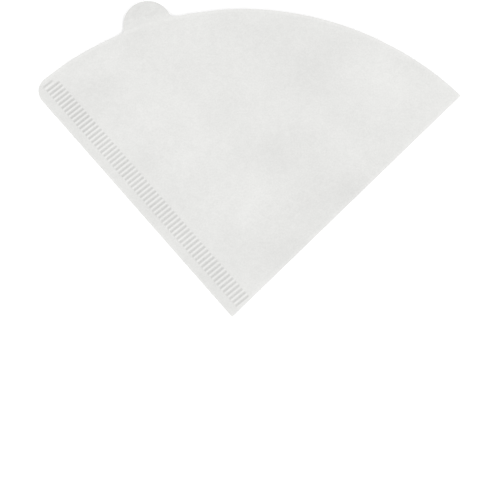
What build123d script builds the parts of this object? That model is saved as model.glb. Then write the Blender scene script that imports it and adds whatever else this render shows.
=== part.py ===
from build123d import *
import os
from math import sin, cos, pi, radians, degrees, acos, atan2

os.makedirs("parts", exist_ok=True)

# A cone filter of thin white paper, as it lies flat before use.  One sheet is
# folded in half along a straight fold and its two leaves are crimped together
# along the other straight edge.  The mouth is a circular arc.  A half-round
# pull tab stands up from the mouth of the upper leaf, near the crimped seam.
#
# It is drawn with the tip at the origin and the fold along +X, then turned so
# that +Y runs from the tip up the middle to the mouth, +X across the mouth
# with the fold on the right, and +Z out of the upper leaf.

# ---- driving dimensions, mm and degrees ------------------------------------
FOLD_LENGTH = 125.0      # tip to mouth, along the fold
MOUTH_RADIUS = 117.0     # arc of the mouth; its centre lies on the fold
TIP_ANGLE = 85.0         # between the fold and the seam edge
CORNER_RADIUS = 6.2      # rounded corner where the seam meets the mouth

PAPER = 0.20             # one leaf, creped filter stock
LEAF_GAP = 0.10          # air between the leaves beside the fold
MOUTH_LIFT = 2.2         # how far the upper leaf springs up at mid mouth
FLAT_TIP = 3.0           # the leaves stay flat this far round the inner tip

BAND_START = 3.45        # plain margin outside the crimps
BAND_WIDTH = 6.40        # length of each crimp, square to the seam edge
CRIMP_PITCH = 1.793
CRIMP_FIRST = 3.02       # first ridge, along the seam from the tip
CRIMP_COUNT = 63
CRIMP_HEIGHT = 0.25
RIDGE_FOOT = 1.10        # ridge width at its foot and at its crest
RIDGE_CREST = 0.50

TAB_RADIUS = 9.3         # centred on the mouth arc
TAB_ANGLE = 63.6         # its place round the mouth, from the fold
TAB_FILLET_SEAM = 2.0    # where the tab runs into the mouth, seam side
TAB_FILLET_FOLD = 3.0    # the same, fold side

# ---- derived ---------------------------------------------------------------
A = radians(TIP_ANGLE)
CX = FOLD_LENGTH - MOUTH_RADIUS                 # arc centre, on the fold
Z_TOP = PAPER + LEAF_GAP                        # underside of the upper leaf
BAND_END = BAND_START + BAND_WIDTH
PRESSED = 2 * PAPER                             # both leaves, pressed together


def seam_point(s, w):
    """s along the seam edge from the tip, w square to it into the sheet."""
    return (s * cos(A) + w * sin(A), s * sin(A) - w * cos(A))


def strip(w0, w1):
    """Endless strip parallel to the seam edge."""
    pts = [seam_point(s, w) for s, w in ((-40, w0), (160, w0), (160, w1), (-40, w1))]
    return make_face(Polyline(*pts, close=True))


# ---- flat outlines ---------------------------------------------------------
disc = Pos(CX, 0) * Circle(MOUTH_RADIUS)
wedge = make_face(Polyline((0, 0), (160, 0), (160, 160), seam_point(160, 0), close=True))
leaf = disc & wedge
corner = leaf.vertices().sort_by_distance(Vector(seam_point(116.8, 0)))[0]
leaf = fillet(corner, CORNER_RADIUS)


def mouth_point(angle, r=MOUTH_RADIUS):
    return Vector(CX + r * cos(radians(angle)), r * sin(radians(angle)))


def tab_root(side, r):
    """Arc of radius r that runs the tab into the mouth: mouth end, middle, tab end."""
    R, T = MOUTH_RADIUS, TAB_RADIUS
    turn = degrees(acos((R ** 2 + (R + r) ** 2 - (T + r) ** 2) / (2 * R * (R + r))))
    f = mouth_point(TAB_ANGLE + side * turn, R + r)
    on_mouth = mouth_point(TAB_ANGLE + side * turn)
    on_tab = tab_mid + (f - tab_mid).normalized() * T
    middle = f + ((on_mouth - f).normalized() + (on_tab - f).normalized()).normalized() * r
    return on_mouth, middle, on_tab


tab_mid = mouth_point(TAB_ANGLE)
m1, q1, t1 = tab_root(1, TAB_FILLET_SEAM)
m2, q2, t2 = tab_root(-1, TAB_FILLET_FOLD)
tab_top = mouth_point(TAB_ANGLE, MOUTH_RADIUS + TAB_RADIUS)
tab_foot = mouth_point(TAB_ANGLE, MOUTH_RADIUS - TAB_RADIUS)
tab = make_face(Wire([
    ThreePointArc(m1, q1, t1).edge(), ThreePointArc(t1, tab_top, t2).edge(),
    ThreePointArc(t2, q2, m2).edge(), Line(m2, tab_foot).edge(), Line(tab_foot, m1).edge()]))
tabbed = disc + tab

# ---- lower leaf, flat on the table -----------------------------------------
lower = extrude(leaf, PAPER)

# ---- fold: both leaves turn round one small bend ---------------------------
bend_r = PAPER + LEAF_GAP / 2
ring = Circle(bend_r) - Circle(LEAF_GAP / 2)
half = ring & (Pos(-bend_r, 0) * Rectangle(2 * bend_r, 4 * bend_r))
bend_plane = Plane(origin=(0, 0, bend_r), x_dir=(0, 1, 0), z_dir=(1, 0, 0))
bend = extrude(bend_plane * half, FOLD_LENGTH)

# ---- plain margin of the upper leaf, outside the crimps --------------------
margin = Pos(0, 0, Z_TOP) * extrude(leaf & strip(0, BAND_START), PAPER)

# ---- crimped band: both leaves pressed into one, with cross ridges ---------
band = extrude(leaf & strip(BAND_START, BAND_END), PRESSED)
taper = degrees(atan2((RIDGE_FOOT - RIDGE_CREST) / 2, CRIMP_HEIGHT))
ridge = extrude(Rectangle(RIDGE_FOOT, BAND_WIDTH - 0.2), CRIMP_HEIGHT, taper=taper)
ridges, hollows = [], []
for i in range(CRIMP_COUNT):
    x, y = seam_point(CRIMP_FIRST + i * CRIMP_PITCH, BAND_START + BAND_WIDTH / 2)
    place = Pos(x, y, PRESSED) * Rot(0, 0, TIP_ANGLE)
    ridges.append(place * ridge)
    hollows.append(Pos(0, 0, -PRESSED) * place * ridge)

# ---- open part of the upper leaf: a shallow cone about the inner tip -------
inner_tip = BAND_END / sin(A)
FAR = 140.0
STEPS = 16


def lift(t):
    """Rise per mm of radius at angle t (0 at the fold, 1 at the seam)."""
    return MOUTH_LIFT / (107.0 - FLAT_TIP) * sin(pi * t)


near_pts, far_pts = [], []
for k in range(STEPS + 1):
    t = k / STEPS
    c, s = cos(A * t), sin(A * t)
    near_pts.append((inner_tip + FLAT_TIP * c, FLAT_TIP * s, Z_TOP))
    far_pts.append((inner_tip + FAR * c, FAR * s, Z_TOP + lift(t) * (FAR - FLAT_TIP)))
near_edge = Spline(*near_pts)
far_edge = Spline(*far_pts)
cone = Face.make_surface_from_curves(near_edge.edge(), far_edge.edge())
cone = Solid.extrude(cone, Vector(0, 0, PAPER))
fan_rim = [Line((inner_tip, 0, Z_TOP), near_pts[0]), near_edge, Line(near_pts[-1], (inner_tip, 0, Z_TOP))]
fan = Solid.extrude(Face(Wire([e.edge() for e in fan_rim])), Vector(0, 0, PAPER))
trim = Pos(0, 0, -1) * extrude(tabbed, 12)
upper = (Part() + cone + fan) & trim

# ---- the whole sheet -------------------------------------------------------
sheet = lower + bend + margin + band + ridges - hollows + upper

# ---- row frame: origin under the middle of the box, +Y tip to mouth --------
sheet = Rot(0, 0, 90 - TIP_ANGLE / 2) * sheet
box = sheet.bounding_box()
sheet = Pos(-(box.min.X + box.max.X) / 2, -(box.min.Y + box.max.Y) / 2, -box.min.Z) * sheet
box = sheet.bounding_box()
print("solids", len(sheet.solids()), "volume", round(sheet.volume, 1), "valid", sheet.is_valid)
print("box", [round(v, 3) for v in (*box.min, *box.max)])
export_step(sheet.solids()[0] if len(sheet.solids()) == 1 else sheet, "parts/filter_paper.step")
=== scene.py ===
import math

import bmesh
import bpy
import numpy as np
from mathutils import Matrix, Vector
from mathutils.geometry import delaunay_2d_cdt


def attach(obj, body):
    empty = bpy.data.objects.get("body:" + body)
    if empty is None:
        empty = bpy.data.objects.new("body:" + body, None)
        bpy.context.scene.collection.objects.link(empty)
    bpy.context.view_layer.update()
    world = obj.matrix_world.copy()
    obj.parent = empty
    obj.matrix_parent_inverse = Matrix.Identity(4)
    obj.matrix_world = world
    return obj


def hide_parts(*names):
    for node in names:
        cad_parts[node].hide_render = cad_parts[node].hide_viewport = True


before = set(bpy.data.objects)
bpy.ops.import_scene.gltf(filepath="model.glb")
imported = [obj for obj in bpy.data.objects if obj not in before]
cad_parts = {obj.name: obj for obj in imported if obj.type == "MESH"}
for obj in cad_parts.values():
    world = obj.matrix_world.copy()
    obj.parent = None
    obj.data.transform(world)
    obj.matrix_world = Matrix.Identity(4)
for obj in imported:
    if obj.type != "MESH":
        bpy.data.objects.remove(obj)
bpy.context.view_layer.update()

# ---------------------------------------------------------------------------
# The sheet is laid out in its own plane, in mm: tip at the origin, fold along
# +X, seam edge at TIP degrees, upper leaf on top.  It is then turned by TURN
# and moved by SHIFT into the row frame, in metres.
# ---------------------------------------------------------------------------
FOLD, R_MOUTH, TIP = 125.0, 117.0, 85.0
CX = FOLD - R_MOUTH
R_CORNER = 6.2
TAB_R, TAB_AT, TAB_FILLETS = 9.3, 63.6, (2.0, 3.0)
T = 0.20                                  # paper
GAP = 0.10                                # between the leaves beside the fold
LIFT = 2.0                                # spring of the upper leaf at mid mouth
BAND0, BAND1 = 3.45, 9.85                 # crimps run from here to here, square to the seam edge
PITCH, GROOVE0, GROOVES = 1.793, 2.126, 63
CREASE = (123.4, np.array([0.579, 0.815]))   # soft crease across the tab: distance from the tip, direction
LAST_SHIFT = 0.30                         # the last, short groove stands a little apart
WAVE = 0.36                               # crest to groove
TURN = math.radians(90 - TIP / 2)
SHIFT = (-3.844, -62.092)

A = math.radians(TIP)
U = np.array([math.cos(A), math.sin(A)])          # along the seam edge
N = np.array([math.sin(A), -math.cos(A)])         # square to it, into the sheet
V0 = np.array([BAND1 / math.sin(A), 0.0])         # inner tip, where the band meets the fold


def smooth(x, a, b):
    t = np.clip((x - a) / (b - a), 0.0, 1.0)
    return t * t * (3 - 2 * t)


# ---- outline of a leaf ------------------------------------------------------
def mouth(angle, r=R_MOUTH):
    a = math.radians(angle)
    return np.array([CX + r * math.cos(a), r * math.sin(a)])


def arc_points(c, r, a0, a1, step):
    n = max(2, int(math.ceil(abs(math.radians(a1 - a0)) * r / step)))
    return [c + r * np.array([math.cos(math.radians(a)), math.sin(math.radians(a))])
            for a in np.linspace(a0, a1, n + 1)]


def angle_of(v):
    return math.degrees(math.atan2(v[1], v[0]))


def tab_path():
    """Tab outline from its fold side to its seam side, with the mouth angles where it starts and ends."""
    mid, ends, out = mouth(TAB_AT), {}, []
    for side, r in ((1, TAB_FILLETS[0]), (-1, TAB_FILLETS[1])):
        R, t = R_MOUTH, TAB_R
        turn = math.degrees(math.acos((R ** 2 + (R + r) ** 2 - (t + r) ** 2) / (2 * R * (R + r))))
        f = mouth(TAB_AT + side * turn, R + r)
        on_mouth = angle_of(mouth(TAB_AT + side * turn) - f)
        on_tab = angle_of(mid - f)
        ends[side] = (f, r, on_mouth, on_tab, TAB_AT + side * turn)
    f, r, om, ot, start = ends[-1]
    d = (ot - om + 180) % 360 - 180
    out += arc_points(f, r, om, om + d, 0.45)
    a0 = angle_of(out[-1] - mid)
    f, r, om, ot, stop = ends[1]
    last = f + r * np.array([math.cos(math.radians(ot)), math.sin(math.radians(ot))])
    a1 = angle_of(last - mid)
    a1 += 360 * (a1 < a0)
    out += arc_points(mid, TAB_R, a0, a1, 0.55)[1:]
    d = (om - ot + 180) % 360 - 180
    out += arc_points(f, r, ot, ot + d, 0.45)[1:]
    return out, start, stop


def corner():
    b = R_CORNER * N - np.array([CX, 0.0])
    bb = U @ b
    s = -bb + math.sqrt(bb * bb - (b @ b - (R_MOUTH - R_CORNER) ** 2))
    c = s * U + R_CORNER * N
    out_mouth = c - np.array([CX, 0.0])
    return c, angle_of(out_mouth), angle_of(-N), s


def outline(tab):
    """Closed outline, anticlockwise: the fold first, then mouth, corner and seam edge."""
    xs = np.concatenate([np.arange(0, 12, PITCH / 3), np.linspace(12, FOLD, 62)])
    fold = [np.array([x, 0.0]) for x in xs]
    cc, c0, c1, s_end = corner()
    c1 += 360 * (c1 < c0)
    rim = []
    if tab:
        path, start, stop = tab_path()
        rim += arc_points(np.array([CX, 0.0]), R_MOUTH, 0, start, 1.5)[1:-1]
        rim += path
        rim += arc_points(np.array([CX, 0.0]), R_MOUTH, stop, c0, 1.2)[1:-1]
    else:
        rim += arc_points(np.array([CX, 0.0]), R_MOUTH, 0, c0, 1.5)[1:-1]
    rim += arc_points(cc, R_CORNER, c0, c1, 0.5)
    rim += [s * U for s in np.arange(s_end, 0.5, -PITCH / 3)[1:]]
    return np.array(fold), np.array(rim)


def inside(p, poly, margin):
    """Which points lie inside the polygon, at least margin from its edges."""
    a, b = poly, np.roll(poly, -1, axis=0)
    hit = np.zeros(len(p), bool)
    near = np.full(len(p), 1e9)
    for (x0, y0), (x1, y1) in zip(a, b):
        cross = (y0 > p[:, 1]) != (y1 > p[:, 1])
        with np.errstate(divide="ignore", invalid="ignore"):
            xi = x0 + (p[:, 1] - y0) * (x1 - x0) / (y1 - y0 if y1 != y0 else 1e-12)
        hit ^= cross & (p[:, 0] < xi)
        d = np.array([x1 - x0, y1 - y0])
        t = np.clip(((p - [x0, y0]) @ d) / (d @ d), 0, 1)
        q = p - (np.array([x0, y0]) + t[:, None] * d)
        near = np.minimum(near, (q * q).sum(1))
    return hit & (near > margin ** 2)


def leaf_points(tab):
    fold, rim = outline(tab)
    poly = np.concatenate([fold, rim])
    fine = PITCH / 10
    rows = GROOVE0 + fine * np.arange(-9, int((117 - GROOVE0) / fine) + 1)
    cols = [3.1, 3.3, 3.45, 3.6, 3.8, 4.1, 4.9, 5.8, 6.65, 7.5, 8.4, 9.2, 9.5, 9.7, 9.85, 10.0, 10.2]
    band = np.array([s * U + w * N for s in rows for w in cols])
    band = band[inside(band, poly, 0.16)]
    skip = PITCH / 2
    plain = np.array([s * U + w * N for s in np.arange(0.6, 117, skip) for w in (0.75, 1.55, 2.35)])
    plain = plain[inside(plain, poly, 0.35)]
    side = np.array([s * U + w * N for s in np.arange(0.9, 117, PITCH / 3) for w in (10.75,)])
    side = side[inside(side, poly, 0.3)]
    side2 = np.array([s * U + w * N for s in np.arange(0.9, 117, PITCH / 1.5) for w in (11.7,)])
    side2 = side2[inside(side2, poly, 0.5)]
    h = 1.9
    gx, gy = np.meshgrid(np.arange(-2, 130, h), np.arange(-2, 132, h * math.sqrt(3) / 2))
    gx = gx + (np.arange(gx.shape[0]) % 2)[:, None] * h / 2
    grid = np.stack([gx.ravel(), gy.ravel()], 1)
    grid = grid[(grid @ N > 13.0)]
    grid = grid[inside(grid, poly, 0.85)]
    parts = [poly, band, plain, side, side2, grid]
    if tab:
        h = 0.95
        gx, gy = np.meshgrid(np.arange(46, 72, h), np.arange(94, 118, h * math.sqrt(3) / 2))
        gx = gx + (np.arange(gx.shape[0]) % 2)[:, None] * h / 2
        extra = np.stack([gx.ravel(), gy.ravel()], 1)
        extra = extra[np.hypot(extra[:, 0] - CX, extra[:, 1]) > R_MOUTH - 2.5]
        extra = extra[inside(extra, poly, 0.4)]
        near = np.hypot(grid[:, 0] - CX, grid[:, 1]) > R_MOUTH - 3.2
        tabside = np.abs(np.degrees(np.arctan2(grid[:, 1], grid[:, 0] - CX)) - TAB_AT) < 7
        parts[-1] = grid[~(near & tabside)]
        parts.append(extra)
    return np.concatenate(parts), len(fold), len(poly)


def triangles(points, n_edge):
    edges = [(i, (i + 1) % n_edge) for i in range(n_edge)]
    co, _, faces, orig, _, _ = delaunay_2d_cdt([Vector(p) for p in points], edges, [], 1, 1e-5, True)
    if len(co) != len(points):
        raise RuntimeError("the leaf's points were merged or split")
    back = [o[0] for o in orig]
    tri = np.array([[back[i] for i in f] for f in faces])
    a, b, c = points[tri[:, 0]], points[tri[:, 1]], points[tri[:, 2]]
    area = (b[:, 0] - a[:, 0]) * (c[:, 1] - a[:, 1]) - (b[:, 1] - a[:, 1]) * (c[:, 0] - a[:, 0])
    tri[area < 0] = tri[area < 0][:, ::-1]
    middle = points[tri].mean(1)
    return tri[(np.abs(area) > 1e-7) & inside(middle, points[:n_edge], 0)]


# ---- how the flat leaf stands up --------------------------------------------
def sw(p):
    return p @ U, p @ N


def crimp(p):
    """Height of the pressed wave over the margin level."""
    s, w = sw(p)
    s = s - LAST_SHIFT * smooth(s, GROOVE0 + (GROOVES - 0.7) * PITCH, GROOVE0 + (GROOVES - 0.2) * PITCH)
    phase = (s - GROOVE0) / PITCH
    c = -np.cos(2 * math.pi * phase)
    c = np.sign(c) * np.abs(c) ** 0.85
    k = np.round(phase)
    rng = np.random.default_rng(11)
    start = BAND0 + rng.normal(0, 0.05, 80)
    stop = BAND1 + rng.normal(0, 0.07, 80)
    deep = 1 + rng.normal(0, 0.05, 80)
    ki = np.clip(k, 0, 79).astype(int)
    stop[GROOVES] = 8.2
    deep[GROOVES] = 0.85
    env = smooth(w, start[ki] - 0.22, start[ki] + 0.22) * (1 - smooth(w, stop[ki] - 0.26, stop[ki] + 0.26))
    env = env * ((phase > -0.25) & (phase < GROOVES + 0.25)) * deep[ki]
    return WAVE / 2 * c * env


def waves(p, seed, scale, n=14):
    """Soft random undulation of about unit size, the same on each run."""
    rng = np.random.default_rng(seed)
    out = np.zeros(len(p))
    for _ in range(n):
        a = rng.uniform(0, math.pi)
        l = scale * rng.uniform(0.7, 1.6)
        ph = rng.uniform(0, 2 * math.pi)
        out += np.sin((p[:, 0] * math.cos(a) + p[:, 1] * math.sin(a)) * 2 * math.pi / l + ph)
    return out / math.sqrt(n / 2)


def base(p):
    """The lower leaf's underside: on the table but for the crimped band, which stands on its grooves."""
    s, w = sw(p)
    edge = WAVE / 2 * 1.12 * (1 - smooth(w, BAND1 + 0.5, 34.0)) * (0.1 + 0.9 * smooth(w, 0.1, 3.0))
    body = smooth(w, 14, 40) * smooth(p[:, 1], 2, 20)
    return edge + 0.05 * body * (1 + waves(p, 3, 34)).clip(0)


def polar(p):
    d = p - V0
    return np.hypot(d[:, 0], d[:, 1]), np.arctan2(d[:, 1], d[:, 0]) / A


def lower_mid(p):
    return base(p) + T / 2 + crimp(p)


def upper_mid(p):
    s, w = sw(p)
    r, t = polar(p)
    t = np.clip(t, 0, 1)
    lift = LIFT / 104.0 * np.sin(math.pi * t) * np.clip(r - 3.0, 0, None) * smooth(w, BAND1, BAND1 + 9)
    gap = 0.015 + (GAP - 0.015) * smooth(w, BAND1 + 0.2, BAND1 + 3)
    free = smooth(w, BAND1 + 2, 32) * smooth(p[:, 1], 0, 16)
    wob = free * (0.15 * waves(p, 5, 42) + 0.05 * waves(p, 8, 19))
    # the tab is bent up a little beyond a soft crease
    d = p @ CREASE[1] - CREASE[0]
    out = np.hypot(p[:, 0] - CX, p[:, 1]) > R_MOUTH - 1.0
    near = np.abs(np.degrees(np.arctan2(p[:, 1], p[:, 0] - CX)) - TAB_AT) < 9
    flap = np.where(out & near, 0.06 * (np.sqrt((d + 0.3) ** 2 + 1.2) + d + 0.3) / 2 - 0.03, 0).clip(0)
    fold = -0.07 * np.exp(-p[:, 1] / 0.9) * smooth(w, BAND1 + 0.2, BAND1 + 3)
    return base(p) + T / 2 + T + gap + crimp(p) + lift + wob + flap + fold


# ---- one closed sheet -------------------------------------------------------
def build_sheet():
    verts, faces = [], []
    count = 0

    def add(p, z):
        nonlocal count
        verts.append(np.column_stack([p, z]))
        first = count
        count += len(p)
        return first

    up, nf, ne_up = leaf_points(True)
    lo, _, ne_lo = leaf_points(False)
    tri_up, tri_lo = triangles(up, ne_up), triangles(lo, ne_lo)
    zu, zl = upper_mid(up), lower_mid(lo)
    ao = add(up, zu + T / 2)                 # upper leaf: outside, inside
    ai = add(up, zu - T / 2)
    bo = add(lo, zl - T / 2)                 # lower leaf: outside, inside
    bi = add(lo, zl + T / 2)
    faces += [tuple(f) for f in (tri_up + ao)]
    faces += [tuple(f) for f in (tri_up[:, ::-1] + ai)]
    faces += [tuple(f) for f in (tri_lo[:, ::-1] + bo)]
    faces += [tuple(f) for f in (tri_lo + bi)]
    # cut edges: all of the outline but the fold
    rims = []
    for n_edge, top, bottom in ((ne_up, ao, ai), (ne_lo, bi, bo)):
        for i in range(nf - 1, n_edge):
            j = (i + 1) % n_edge
            rims.append((top + i, bottom + i, bottom + j, top + j))
    # the fold: outer and inner turn from the upper leaf to the lower leaf
    xs = up[:nf, 0]
    zt, zb = zu[:nf], zl[:nf]
    mid, half = (zt + zb) / 2, (zt - zb) / 2
    STEPS = 8
    outer, inner = [ao + np.arange(nf)], [ai + np.arange(nf)]
    for k in range(1, STEPS):
        a = math.pi * k / STEPS
        for ring, r in ((outer, half + T / 2), (inner, half - T / 2)):
            p = np.column_stack([xs, -r * math.sin(a)])
            f = add(p, mid + r * math.cos(a))
            ring.append(f + np.arange(nf))
    outer.append(bo + np.arange(nf))
    inner.append(bi + np.arange(nf))
    for ring, flip in ((outer, False), (inner, True)):
        for k in range(STEPS):
            a, b = ring[k], ring[k + 1]
            for i in range(nf - 1):
                q = (a[i], b[i], b[i + 1], a[i + 1])
                faces.append(q[::-1] if flip else q)
    for i, flip in ((0, False), (nf - 1, True)):
        for k in range(STEPS):
            q = (outer[k][i], inner[k][i], inner[k + 1][i], outer[k + 1][i])
            rims.append(q[::-1] if flip else q)
    co = np.concatenate(verts)
    c, s = math.cos(TURN), math.sin(TURN)
    out = np.column_stack([
        (co[:, 0] * c - co[:, 1] * s + SHIFT[0]) / 1000,
        (co[:, 0] * s + co[:, 1] * c + SHIFT[1]) / 1000,
        co[:, 2] / 1000])
    me = bpy.data.meshes.new("filter_sheet")
    me.from_pydata(out.tolist(), [], [tuple(int(i) for i in f) for f in faces + rims])
    me.validate()
    me.polygons.foreach_set("use_smooth", np.ones(len(me.polygons), bool))
    bm = bmesh.new()
    bm.from_mesh(me)
    bmesh.ops.recalc_face_normals(bm, faces=bm.faces)
    for e in bm.edges:
        if len(e.link_faces) == 2 and e.calc_face_angle(0) > math.radians(55):
            e.smooth = False
    open_edges = sum(1 for e in bm.edges if len(e.link_faces) != 2)
    print("sheet: vertices", len(bm.verts), "triangles", sum(len(f.verts) - 2 for f in bm.faces),
          "open edges", open_edges, "volume mm3", round(bm.calc_volume() * 1e9, 1))
    bm.to_mesh(me)
    bm.free()
    ob = bpy.data.objects.new("filter_sheet", me)
    bpy.context.scene.collection.objects.link(ob)
    return ob


# ---- materials --------------------------------------------------------------
PAPER_COLOUR = (0.745, 0.745, 0.731)
# groove darkening: part denser pressed paper, part painted shade; ridge lightening: a painted highlight over the
# crimped band
GROOVE_DENSITY_AND_SHADE, RIDGE_PAINTED_HIGHLIGHT = -0.24, 0.075
CLOUD, FLOCK, GRAIN = 0.13, 0.09, 0.18
# soft light and dark patches, part formation and part painted shade of the sheet's gentle waviness, the darkest near
# the middle of the fold: place on the flat sheet in mm, radius in mm, tone
PATCHES = (
    ((63, 6), 22, -0.045), ((57, 27), 23, -0.018), ((93, 50), 22, -0.022), ((91, 75), 20, -0.008),
    ((20, 8), 13, -0.022), ((36, 5), 25, -0.030), ((107, 49), 12, -0.024), ((66, 7), 13, -0.024),
    ((31, 28), 22, 0.020), ((31, 54), 17, 0.020), ((40, 77), 19, 0.016), ((108, 22), 28, 0.016),
    ((60, 82), 20, 0.018), ((20, 54), 12, 0.018), ((118, 12), 12, 0.016),
)


def nodes_of(name):
    m = bpy.data.materials.new(name)
    m.use_nodes = True
    return m, m.node_tree.nodes, m.node_tree.links


def row(point):
    c, q = math.cos(TURN), math.sin(TURN)
    return ((point[0] * c - point[1] * q + SHIFT[0]) / 1000, (point[0] * q + point[1] * c + SHIFT[1]) / 1000, 0)


def paper_material():
    m, nodes, links = nodes_of("creped_filter_paper")
    bsdf = nodes["Principled BSDF"]
    bsdf.inputs["Roughness"].default_value = 0.88
    bsdf.inputs["Specular IOR Level"].default_value = 0.25
    coord = nodes.new("ShaderNodeTexCoord").outputs["Object"]

    def put(socket, value):
        if isinstance(value, (int, float, tuple)):
            socket.default_value = value
        else:
            links.new(value, socket)

    def calc(op, a, b=0.0):
        n = nodes.new("ShaderNodeMath")
        n.operation = op
        put(n.inputs[0], a)
        put(n.inputs[1], b)
        return n.outputs[0]

    def total(*terms):
        out = terms[0]
        for t in terms[1:]:
            out = calc("ADD", out, t)
        return out

    def vector(op, a, b):
        n = nodes.new("ShaderNodeVectorMath")
        n.operation = op
        put(n.inputs[0], a)
        put(n.inputs[1], b)
        return n

    def step(value, a, b, low=0.0, high=1.0):
        n = nodes.new("ShaderNodeMapRange")
        n.interpolation_type = "SMOOTHSTEP"
        put(n.inputs["Value"], value)
        for k, v in (("From Min", a), ("From Max", b), ("To Min", low), ("To Max", high)):
            n.inputs[k].default_value = v
        return n.outputs["Result"]

    def noise(scale, detail, rough, amount, distort=0.0):
        n = nodes.new("ShaderNodeTexNoise")
        n.inputs["Scale"].default_value = scale
        n.inputs["Detail"].default_value = detail
        n.inputs["Roughness"].default_value = rough
        n.inputs["Distortion"].default_value = distort
        links.new(coord, n.inputs["Vector"])
        return n.outputs["Fac"], calc("MULTIPLY", calc("SUBTRACT", n.outputs["Fac"], 0.5), amount)

    def along(direction):
        """Distance from the tip in mm, measured along a direction of the flat sheet."""
        c, q = math.cos(TURN), math.sin(TURN)
        d = (1000 * (direction[0] * c - direction[1] * q), 1000 * (direction[0] * q + direction[1] * c), 0.0)
        return vector("DOT_PRODUCT", vector("SUBTRACT", coord, row((0, 0))).outputs[0], d).outputs["Value"]

    s, w, y = along(U), along(N), along((0.0, 1.0))
    r = calc("MULTIPLY", vector("DISTANCE", vector("MULTIPLY", coord, (1.0, 1.0, 0.0)).outputs[0],
                                row((CX, 0))).outputs["Value"], 1000.0)

    # the pressed grooves are denser, so they let more of the dark through; the darkening also holds painted shade of
    # the grooves' hollows
    s = calc("SUBTRACT", s, step(s, GROOVE0 + (GROOVES - 0.7) * PITCH, GROOVE0 + (GROOVES - 0.2) * PITCH, 0.0, LAST_SHIFT))
    turnphase = calc("MULTIPLY", calc("SUBTRACT", s, GROOVE0), 2 * math.pi / PITCH)
    groove = total(calc("MULTIPLY", calc("COSINE", turnphase), 0.5), 0.5)
    last = step(s, GROOVE0 + (GROOVES - 0.55) * PITCH, GROOVE0 + (GROOVES - 0.45) * PITCH)
    full = calc("MULTIPLY", step(w, BAND0 - 0.1, BAND0 + 0.45), step(w, BAND1 - 0.3, BAND1 + 0.3, 1.0, 0.0))
    short = calc("MULTIPLY", step(w, BAND0, BAND0 + 0.5), step(w, 7.7, 8.5, 0.85, 0.0))
    short = calc("MULTIPLY", short, step(s, GROOVE0 + (GROOVES + 0.4) * PITCH, GROOVE0 + (GROOVES + 0.5) * PITCH, 1.0, 0.0))
    full = calc("MULTIPLY", full, step(s, GROOVE0 - 0.55 * PITCH, GROOVE0 - 0.45 * PITCH))
    env = total(calc("MULTIPLY", full, calc("SUBTRACT", 1.0, last)), calc("MULTIPLY", short, last))
    # the groove darkening, denser paper and painted shade, grows a little towards the mouth
    groove = calc("MULTIPLY", groove, step(s, 72.0, 95.0, 1.0, 1.14))
    # painted highlight: the whole crimped band is lightened for its ridges catching the light, on top of the groove
    # darkening
    crimp_tone_shade_and_highlight = total(calc("MULTIPLY", calc("MULTIPLY", groove, env), GROOVE_DENSITY_AND_SHADE), calc("MULTIPLY", env, RIDGE_PAINTED_HIGHLIGHT))

    # cloudy formation: soft patches, flocks and fibre grain
    cloud_f, cloud = noise(44, 3, 0.5, CLOUD, 0.3)
    flock_f, flock = noise(420, 3, 0.6, FLOCK)
    grain_f, grain = noise(1500, 2, 0.7, GRAIN)
    mottle_f, mottle = noise(560, 2, 0.5, 0.16)
    on_tab = step(r, R_MOUTH + 1.0, R_MOUTH + 4.0)
    # painted shade: the tab beyond the crease is darker, as for a tab bent away from the light
    flap = calc("MULTIPLY", step(along(CREASE[1]), CREASE[0] - 1.0, CREASE[0] + 1.0, 0.0, -0.036),
                step(r, R_MOUTH + 0.3, R_MOUTH + 2.0))
    tones = [cloud, flock, grain, crimp_tone_shade_and_highlight, flap, calc("MULTIPLY", mottle, on_tab)]
    # soft patches: part formation, part painted shade of the sheet's waviness
    for point, radius, amount in PATCHES:
        d = vector("DISTANCE", vector("MULTIPLY", coord, (1.0, 1.0, 0.0)).outputs[0], row(point)).outputs["Value"]
        tones.append(step(d, 0.0, radius / 1000, amount, 0.0))
    # painted highlight: a lighter rim, about a millimetre wide, along the mouth, the fold and the seam edge, where
    # the edges catch the light
    tones.append(step(y, 0.0, 1.5, 0.030, 0.0))
    tones.append(step(w, 0.0, 1.3, 0.034, 0.0))
    tones.append(step(w, 3.3, 3.9, -0.013, 0.0))
    tones.append(calc("MULTIPLY", step(r, R_MOUTH - 1.7, R_MOUTH - 0.6, 0.0, 0.034), step(r, R_MOUTH + 0.1, R_MOUTH + 0.5, 1.0, 0.0)))
    tone = total(1.0, *tones)

    top = 1.25
    mix = nodes.new("ShaderNodeMix")
    mix.data_type = "RGBA"
    black = [i for i in mix.inputs if i.name == "A" and i.type == "RGBA"][0]
    white = [i for i in mix.inputs if i.name == "B" and i.type == "RGBA"][0]
    black.default_value = (0, 0, 0, 1)
    white.default_value = tuple(top * v for v in PAPER_COLOUR) + (1,)
    links.new(calc("MULTIPLY", tone, 1 / top), mix.inputs["Factor"])
    links.new([o for o in mix.outputs if o.type == "RGBA"][0], bsdf.inputs["Base Color"])
    bump = nodes.new("ShaderNodeBump")
    bump.inputs["Strength"].default_value = 0.25
    bump.inputs["Distance"].default_value = 0.00008
    links.new(total(calc("MULTIPLY", flock_f, 0.6), calc("MULTIPLY", grain_f, 0.4)), bump.inputs["Height"])
    links.new(bump.outputs["Normal"], bsdf.inputs["Normal"])
    return m


def floor_material():
    m, nodes, links = nodes_of("studio_floor")
    bsdf = nodes["Principled BSDF"]
    bsdf.inputs["Base Color"].default_value = (0.96, 0.96, 0.96, 1)
    bsdf.inputs["Roughness"].default_value = 0.9
    bsdf.inputs["Specular IOR Level"].default_value = 0.1
    bsdf.inputs["Emission Color"].default_value = (1, 1, 1, 1)
    bsdf.inputs["Emission Strength"].default_value = 0.12
    return m


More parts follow.
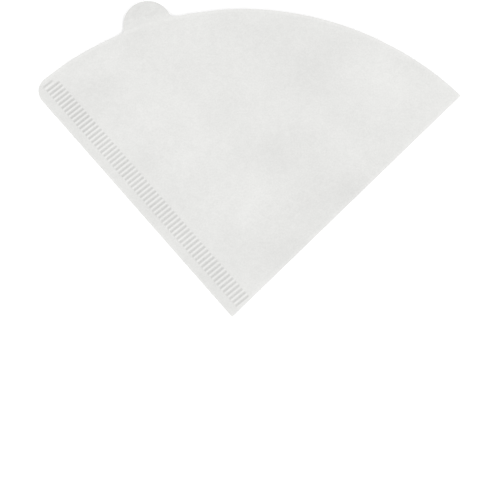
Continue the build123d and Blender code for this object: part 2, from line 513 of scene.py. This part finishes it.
# ---- object -----------------------------------------------------------------
sheet = build_sheet()
sheet.data.materials.append(paper_material())
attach(sheet, "root")
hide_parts("filter_paper")

# ---- studio -----------------------------------------------------------------
me = bpy.data.meshes.new("floor")
S = 3.0
me.from_pydata([(-S, -S, 0), (S, -S, 0), (S, S, 0), (-S, S, 0)], [], [(0, 1, 2, 3)])
floor = bpy.data.objects.new("floor", me)
floor.location = (0, 0, -0.00002)
bpy.context.scene.collection.objects.link(floor)
me.materials.append(floor_material())

scene = bpy.context.scene
world = bpy.data.worlds.new("studio")
scene.world = world
world.use_nodes = True
bg = world.node_tree.nodes["Background"]
bg.inputs["Color"].default_value = (1, 1, 1, 1)
bg.inputs["Strength"].default_value = 0.90


def area(name, loc, size, energy):
    l = bpy.data.lights.new(name, "AREA")
    l.energy = energy
    l.size = size
    o = bpy.data.objects.new(name, l)
    o.location = loc
    o.rotation_euler = (-Vector(loc)).to_track_quat("-Z", "Y").to_euler()
    scene.collection.objects.link(o)


area("key", (0.42, -0.38, 1.70), 1.5, 5.6)
area("fill", (0.6, -0.9, 1.5), 1.5, 2.2)

# ---- camera: fitted to the photograph's outline -----------------------------
def rot(axis, a):
    return Matrix.Rotation(a, 3, axis)


RX, RY, RZ = (math.radians(v) for v in (-17.582, 2.160, 45.550))
TX, TY, DIST, SC = -6.7231, -24.7430, 900.0, 2.68974
rm = rot("X", RX) @ rot("Y", RY) @ rot("Z", RZ)
turn = rot("Z", TURN)
to_row = turn @ rm.transposed()
pos = to_row @ Vector((-TX, -TY, DIST)) + Vector((SHIFT[0], SHIFT[1], 0))
cam = bpy.data.cameras.new("camera")
cam.sensor_width = 36
cam.lens = 36 * SC * DIST / 500
cam.clip_start, cam.clip_end = 0.01, 20
cam_ob = bpy.data.objects.new("camera", cam)
cam_ob.matrix_world = Matrix.Translation(pos / 1000) @ to_row.to_4x4()
scene.collection.objects.link(cam_ob)
scene.camera = cam_ob

scene.view_settings.view_transform = "Standard"
scene.view_settings.look = "None"
scene.view_settings.exposure = 0
scene.view_settings.gamma = 1
